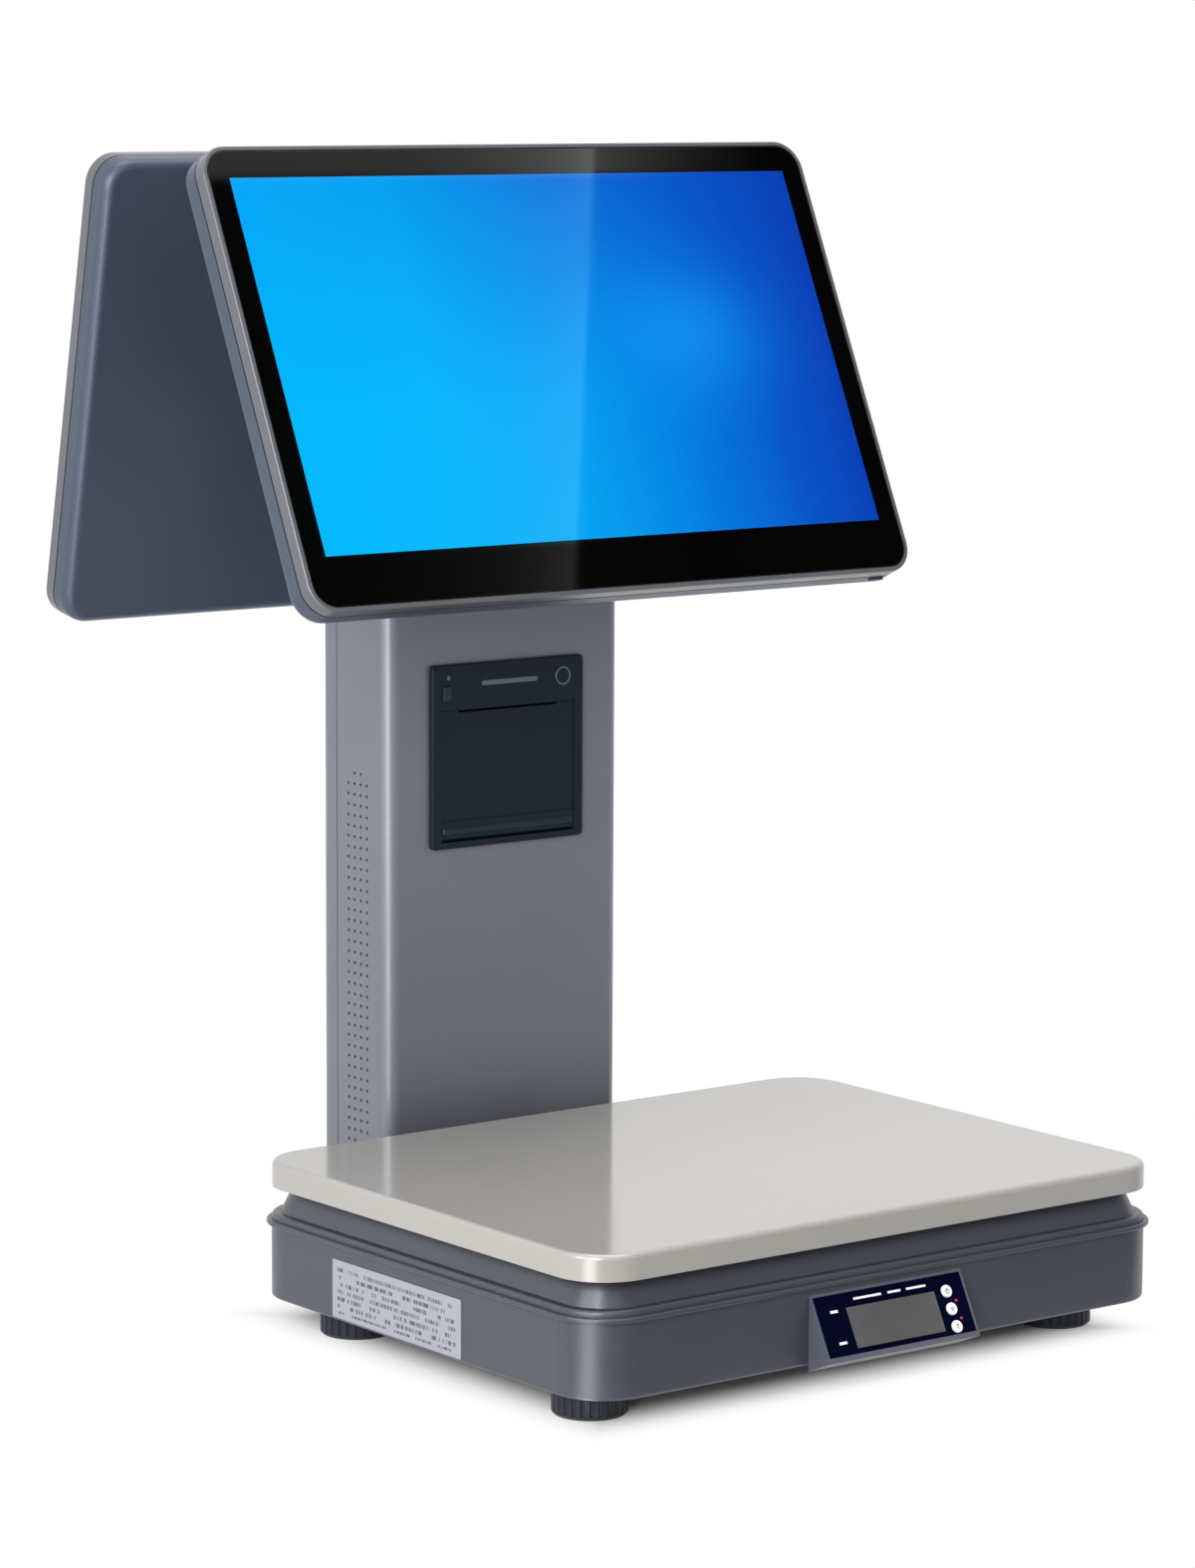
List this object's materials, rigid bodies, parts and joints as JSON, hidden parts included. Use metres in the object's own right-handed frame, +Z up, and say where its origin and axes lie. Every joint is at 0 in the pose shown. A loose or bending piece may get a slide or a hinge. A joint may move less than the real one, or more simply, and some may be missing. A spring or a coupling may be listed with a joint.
{
  "type": "self checkout kiosk",
  "caption": "Counter-top self-checkout weighing till: dark scale base with steel tray, grey column with receipt printer, and a tilting touch screen on each side",
  "frame": {"origin": "on the table, below the centre of the bounding box", "axes": "X to the cashier's right, Y from the cashier (-Y) to the customer (+Y), Z up"},
  "size_m": [0.3728, 0.4632, 0.5736],
  "materials": {
    "tray_steel": "satin stainless sheet, softly mirror-like",
    "base_plastic": "fine-textured dark slate moulding",
    "column_paint": "satin metallic grey",
    "shell_paint": "satin dark blue-grey",
    "frame_paint": "satin mid grey with a light outer edge",
    "screen_glass": "polished glass with a black printed border",
    "screen_image": "lit blue gradient",
    "bracket_paint": "satin near-black",
    "printer_plastic": "fine-textured dark slate",
    "overlay_film": "glossy near-black film",
    "lcd_grey": "unlit grey liquid crystal window",
    "key_white": "satin white",
    "knob_plastic": "ribbed dark plastic",
    "pad_rubber": "matt black rubber",
    "zinc_steel": "zinc-plated steel",
    "cast_alloy": "cast alloy, lightly grained",
    "board_green": "green circuit board with black packages",
    "paper_white": "thermal receipt paper",
    "plate_white": "bare white plate",
    "light_clear": "frosted light pipe",
    "port_black": "black plastic"
  },
  "bodies": {
    "stand": {"base_frame": "cast_alloy", "column_foot": "column_paint", "column_spine": "zinc_steel", "cover_screws": "zinc_steel", "display_housing": "base_plastic", "display_lcd": "lcd_grey", "display_overlay": "overlay_film", "foot_bolts": "zinc_steel", "foot_pads": "pad_rubber", "front_shell": "column_paint", "head_bracket": "bracket_paint", "heat_sink": "cast_alloy", "hinge_pins": "zinc_steel", "light_pipes": "light_clear", "load_cell": "cast_alloy", "load_cell_bolts": "zinc_steel", "lower_housing": "base_plastic", "mainboard": "board_green", "overload_stops": "zinc_steel", "paper_bucket": "printer_plastic", "platter_spider": "cast_alloy", "port_panel": "port_black", "print_head": "port_black", "printer_bezel": "printer_plastic", "rating_plate": "plate_white", "rear_cover": "column_paint", "scale_board": "board_green", "spider_buffers": "pad_rubber", "stud_locknuts": "zinc_steel", "tear_bar": "zinc_steel", "top_cap": "column_paint", "upper_cover": "base_plastic"},
    "cashier_screen": {"cashier_frame": "frame_paint", "cashier_rear_shell": "shell_paint", "cashier_glass": "screen_glass", "cashier_display_panel": "screen_image", "cashier_hinge_plate": "bracket_paint"},
    "customer_screen": {"customer_frame": "frame_paint", "customer_rear_shell": "shell_paint", "customer_glass": "screen_glass", "customer_display_panel": "screen_image", "customer_hinge_plate": "bracket_paint"},
    "power_key": {"cashier_power_key": "port_black"},
    "receipt_door": {"printer_door": "printer_plastic"},
    "platen": {"platen_roller": "pad_rubber"},
    "roll": {"paper_roll": "paper_white"},
    "feed_key": {"feed_button": "printer_plastic"},
    "release_lever": {"open_lever": "printer_plastic"},
    "scale_key_1": {"scale_key_1": "key_white"},
    "scale_key_2": {"scale_key_2": "key_white"},
    "scale_key_3": {"scale_key_3": "key_white"},
    "tray": {"platter": "tray_steel"},
    "foot_fl": {"stud_front_left": "zinc_steel"},
    "knob_fl": {"knob_front_left": "knob_plastic"},
    "foot_fr": {"stud_front_right": "zinc_steel"},
    "knob_fr": {"knob_front_right": "knob_plastic"},
    "foot_rl": {"stud_rear_left": "zinc_steel"},
    "knob_rl": {"knob_rear_left": "knob_plastic"},
    "foot_rr": {"stud_rear_right": "zinc_steel"},
    "knob_rr": {"knob_rear_right": "knob_plastic"}
  },
  "joints": [
    {"name": "cashier_tilt", "type": "hinge", "parent": "stand", "child": "cashier_screen", "pos_m": [0, 0.07765, 0.4473], "axis": [1, 0, 0], "range_deg": [-10, 20]},
    {"name": "customer_tilt", "type": "hinge", "parent": "stand", "child": "customer_screen", "pos_m": [0, 0.16545, 0.444], "axis": [1, 0, 0], "range_deg": [-11, 10]},
    {"name": "power_press", "type": "slide", "parent": "cashier_screen", "child": "power_key", "axis": [0, 0.4163, 0.9092], "range_m": [0, 0.0006], "stiffness_N_per_m": 1000},
    {"name": "door_open", "type": "hinge", "parent": "stand", "child": "receipt_door", "pos_m": [0, 0.08925, 0.226], "axis": [1, 0, 0], "range_deg": [0, 80]},
    {"name": "platen_spin", "type": "hinge", "parent": "receipt_door", "child": "platen", "pos_m": [0, 0.09775, 0.2835], "axis": [1, 0, 0], "continuous": true},
    {"name": "roll_spin", "type": "hinge", "parent": "stand", "child": "roll", "pos_m": [0, 0.11225, 0.2488], "axis": [1, 0, 0], "continuous": true},
    {"name": "feed_press", "type": "slide", "parent": "stand", "child": "feed_key", "axis": [0, 1, 0], "range_m": [0, 0.0005], "stiffness_N_per_m": 1000},
    {"name": "lever_press", "type": "slide", "parent": "stand", "child": "release_lever", "axis": [0, 1, 0], "range_m": [0, 0.001], "stiffness_N_per_m": 1500},
    {"name": "scale_key_1_press", "type": "slide", "parent": "stand", "child": "scale_key_1", "axis": [0, 0.8886, -0.4586], "range_m": [0, 0.0006], "stiffness_N_per_m": 800},
    {"name": "scale_key_2_press", "type": "slide", "parent": "stand", "child": "scale_key_2", "axis": [0, 0.8886, -0.4586], "range_m": [0, 0.0006], "stiffness_N_per_m": 800},
    {"name": "scale_key_3_press", "type": "slide", "parent": "stand", "child": "scale_key_3", "axis": [0, 0.8886, -0.4586], "range_m": [0, 0.0006], "stiffness_N_per_m": 800},
    {"name": "tray_lift", "type": "slide", "parent": "stand", "child": "tray", "axis": [0, 0, 1], "range_m": [0, 0.04]},
    {"name": "foot_fl_lift", "type": "slide", "parent": "stand", "child": "foot_fl", "axis": [0, 0, 1], "range_m": [-0.005, 0]},
    {"name": "foot_fl_turn", "type": "hinge", "parent": "foot_fl", "child": "knob_fl", "pos_m": [-0.1445, -0.1719, 0], "axis": [0, 0, 1], "range_deg": [-1441, 0]},
    {"name": "foot_fr_lift", "type": "slide", "parent": "stand", "child": "foot_fr", "axis": [0, 0, 1], "range_m": [-0.005, 0]},
    {"name": "foot_fr_turn", "type": "hinge", "parent": "foot_fr", "child": "knob_fr", "pos_m": [0.1445, -0.1719, 0], "axis": [0, 0, 1], "range_deg": [-1441, 0]},
    {"name": "foot_rl_lift", "type": "slide", "parent": "stand", "child": "foot_rl", "axis": [0, 0, 1], "range_m": [-0.005, 0]},
    {"name": "foot_rl_turn", "type": "hinge", "parent": "foot_rl", "child": "knob_rl", "pos_m": [-0.1445, 0.0151, 0], "axis": [0, 0, 1], "range_deg": [-1441, 0]},
    {"name": "foot_rr_lift", "type": "slide", "parent": "stand", "child": "foot_rr", "axis": [0, 0, 1], "range_m": [-0.005, 0]},
    {"name": "foot_rr_turn", "type": "hinge", "parent": "foot_rr", "child": "knob_rr", "pos_m": [0.1445, 0.0151, 0], "axis": [0, 0, 1], "range_deg": [-1441, 0]}
  ],
  "couplings": [
    {"joint": "foot_fl_turn", "follows": "foot_fl_lift", "rad_per_m": 5026.5},
    {"joint": "foot_fr_turn", "follows": "foot_fr_lift", "rad_per_m": 5026.5},
    {"joint": "foot_rl_turn", "follows": "foot_rl_lift", "rad_per_m": 5026.5},
    {"joint": "foot_rr_turn", "follows": "foot_rr_lift", "rad_per_m": 5026.5}
  ]
}
